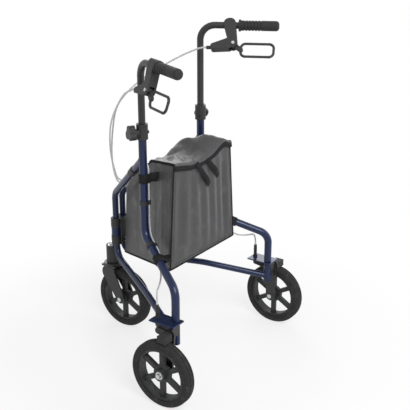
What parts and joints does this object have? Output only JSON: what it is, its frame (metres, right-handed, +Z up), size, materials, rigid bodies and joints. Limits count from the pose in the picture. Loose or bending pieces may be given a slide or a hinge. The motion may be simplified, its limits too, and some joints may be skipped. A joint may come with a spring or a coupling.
{
  "type": "three wheel rollator",
  "caption": "Folding walking aid on wheels with a swivelling front wheel, splayed tube side frames, height set handles, loop brakes and a hanging bag.",
  "frame": {"origin": "floor point under the middle of the bounding box", "axes": "+Z up, -Y forward (direction of travel), +X to the user's left"},
  "size_m": [0.6268, 0.563, 0.9607],
  "materials": {
    "blue_paint": "gloss navy blue",
    "black_paint": "satin black",
    "black_fork": "satin black",
    "bright_steel": "zinc plated",
    "black_plastic": "moulded",
    "hub_plastic": "moulded",
    "grip_rubber": "soft black",
    "tyre_rubber": "dark grey",
    "cable_sheath": "light grey",
    "bag_cloth": "charcoal coated cloth",
    "webbing": "black webbing"
  },
  "bodies": {
    "column": {"hinge_bracket": "black_plastic", "caster_head": "black_plastic", "hinge_bolts": "bright_steel", "caster_bearings": "bright_steel", "bag": "bag_cloth", "bag_lid": "bag_cloth"},
    "caster": {"caster_fork": "black_fork", "caster_stem": "bright_steel", "front_axle": "bright_steel"},
    "front_wheel": {"front_tyre": "tyre_rubber", "front_hub": "hub_plastic", "front_bearings": "bright_steel"},
    "left_frame": {"front_tube_left": "blue_paint", "top_rail_left": "blue_paint", "bottom_rail_left": "blue_paint", "post_left": "blue_paint", "rear_rail_left": "blue_paint", "brake_bracket_left": "blue_paint", "wheel_fork_left": "black_fork", "rear_axle_left": "bright_steel", "height_collar_left": "black_plastic", "cable_fittings_left": "black_plastic", "upper_cable_left": "cable_sheath", "lower_cable_left": "cable_sheath", "bag_loops_left": "webbing"},
    "left_handle": {"handle_tube_left": "black_paint", "grip_left": "grip_rubber", "brake_housing_left": "black_plastic", "lever_pin_left": "bright_steel"},
    "left_lever": {"brake_lever_left": "black_plastic"},
    "left_knob": {"height_knob_left": "black_plastic"},
    "left_brake": {"brake_arm_left": "black_paint", "brake_shoe_left": "grip_rubber"},
    "left_wheel": {"rear_tyre_left": "tyre_rubber", "rear_hub_left": "hub_plastic", "rear_bearings_left": "bright_steel"},
    "right_frame": {"front_tube_right": "blue_paint", "top_rail_right": "blue_paint", "bottom_rail_right": "blue_paint", "post_right": "blue_paint", "rear_rail_right": "blue_paint", "brake_bracket_right": "blue_paint", "wheel_fork_right": "black_fork", "rear_axle_right": "bright_steel", "height_collar_right": "black_plastic", "cable_fittings_right": "black_plastic", "upper_cable_right": "cable_sheath", "lower_cable_right": "cable_sheath", "bag_loops_right": "webbing"},
    "right_handle": {"handle_tube_right": "black_paint", "grip_right": "grip_rubber", "brake_housing_right": "black_plastic", "lever_pin_right": "bright_steel"},
    "right_lever": {"brake_lever_right": "black_plastic"},
    "right_knob": {"height_knob_right": "black_plastic"},
    "right_brake": {"brake_arm_right": "black_paint", "brake_shoe_right": "grip_rubber"},
    "right_wheel": {"rear_tyre_right": "tyre_rubber", "rear_hub_right": "hub_plastic", "rear_bearings_right": "bright_steel"}
  },
  "joints": [
    {"name": "left_fold", "type": "hinge", "parent": "column", "child": "left_frame", "pos_m": [0.016, -0.19852, 0.3], "axis": [0, 0, 1], "range_deg": [0, 24], "deforming": ["bag", "bag_lid", "bag_loops_left", "bag_loops_right", "upper_cable_left", "upper_cable_right"]},
    {"name": "left_handle_slide", "type": "slide", "parent": "left_frame", "child": "left_handle", "axis": [0, 0, 1], "range_m": [-0.09, 0.07], "deforming": ["upper_cable_left"]},
    {"name": "left_brake_lever", "type": "hinge", "parent": "left_handle", "child": "left_lever", "pos_m": [0.19689, 0.0886, 0.81974], "axis": [0.841, -0.4193, 0.342], "range_deg": [0, 12], "stiffness_Nm_per_rad": 1.2},
    {"name": "left_knob_turn", "type": "hinge", "parent": "left_frame", "child": "left_knob", "pos_m": [0.13418, 0.01036, 0.688], "axis": [0.8704, -0.4924, 0], "continuous": true},
    {"name": "left_brake_arm", "type": "hinge", "parent": "left_frame", "child": "left_brake", "pos_m": [0.29011, 0.16052, 0.206], "axis": [-1, 0, 0], "range_deg": [0, 2.88]},
    {"name": "left_wheel_roll", "type": "hinge", "parent": "left_frame", "child": "left_wheel", "pos_m": [0.29011, 0.18652, 0.095], "axis": [1, 0, 0], "continuous": true},
    {"name": "right_fold", "type": "hinge", "parent": "column", "child": "right_frame", "pos_m": [-0.016, -0.19852, 0.3], "axis": [0, 0, 1], "range_deg": [-24, 0], "deforming": ["bag", "bag_lid", "bag_loops_left", "bag_loops_right", "upper_cable_left", "upper_cable_right"]},
    {"name": "right_handle_slide", "type": "slide", "parent": "right_frame", "child": "right_handle", "axis": [0, 0, 1], "range_m": [-0.152, 0.008], "deforming": ["upper_cable_right"]},
    {"name": "right_brake_lever", "type": "hinge", "parent": "right_handle", "child": "right_lever", "pos_m": [-0.14224, 0.11585, 0.8925], "axis": [0.6856, 0.3418, 0.6428], "range_deg": [0, 12], "stiffness_Nm_per_rad": 1.2},
    {"name": "right_knob_turn", "type": "hinge", "parent": "right_frame", "child": "right_knob", "pos_m": [-0.13418, 0.01036, 0.688], "axis": [-0.8704, -0.4924, 0], "continuous": true},
    {"name": "right_brake_arm", "type": "hinge", "parent": "right_frame", "child": "right_brake", "pos_m": [-0.29011, 0.16052, 0.206], "axis": [-1, 0, 0], "range_deg": [0, 2.88]},
    {"name": "right_wheel_roll", "type": "hinge", "parent": "right_frame", "child": "right_wheel", "pos_m": [-0.29011, 0.18652, 0.095], "axis": [1, 0, 0], "continuous": true},
    {"name": "caster_swivel", "type": "hinge", "parent": "column", "child": "caster", "pos_m": [0, -0.23152, 0.23], "axis": [0, 0, 1], "continuous": true},
    {"name": "front_wheel_roll", "type": "hinge", "parent": "caster", "child": "front_wheel", "pos_m": [0, -0.18652, 0.095], "axis": [1, 0, 0], "continuous": true}
  ],
  "couplings": [
    {"joint": "right_fold", "follows": "left_fold", "ratio": -1},
    {"joint": "left_brake_arm", "follows": "left_brake_lever", "ratio": 0.24},
    {"joint": "right_brake_arm", "follows": "right_brake_lever", "ratio": 0.24}
  ]
}
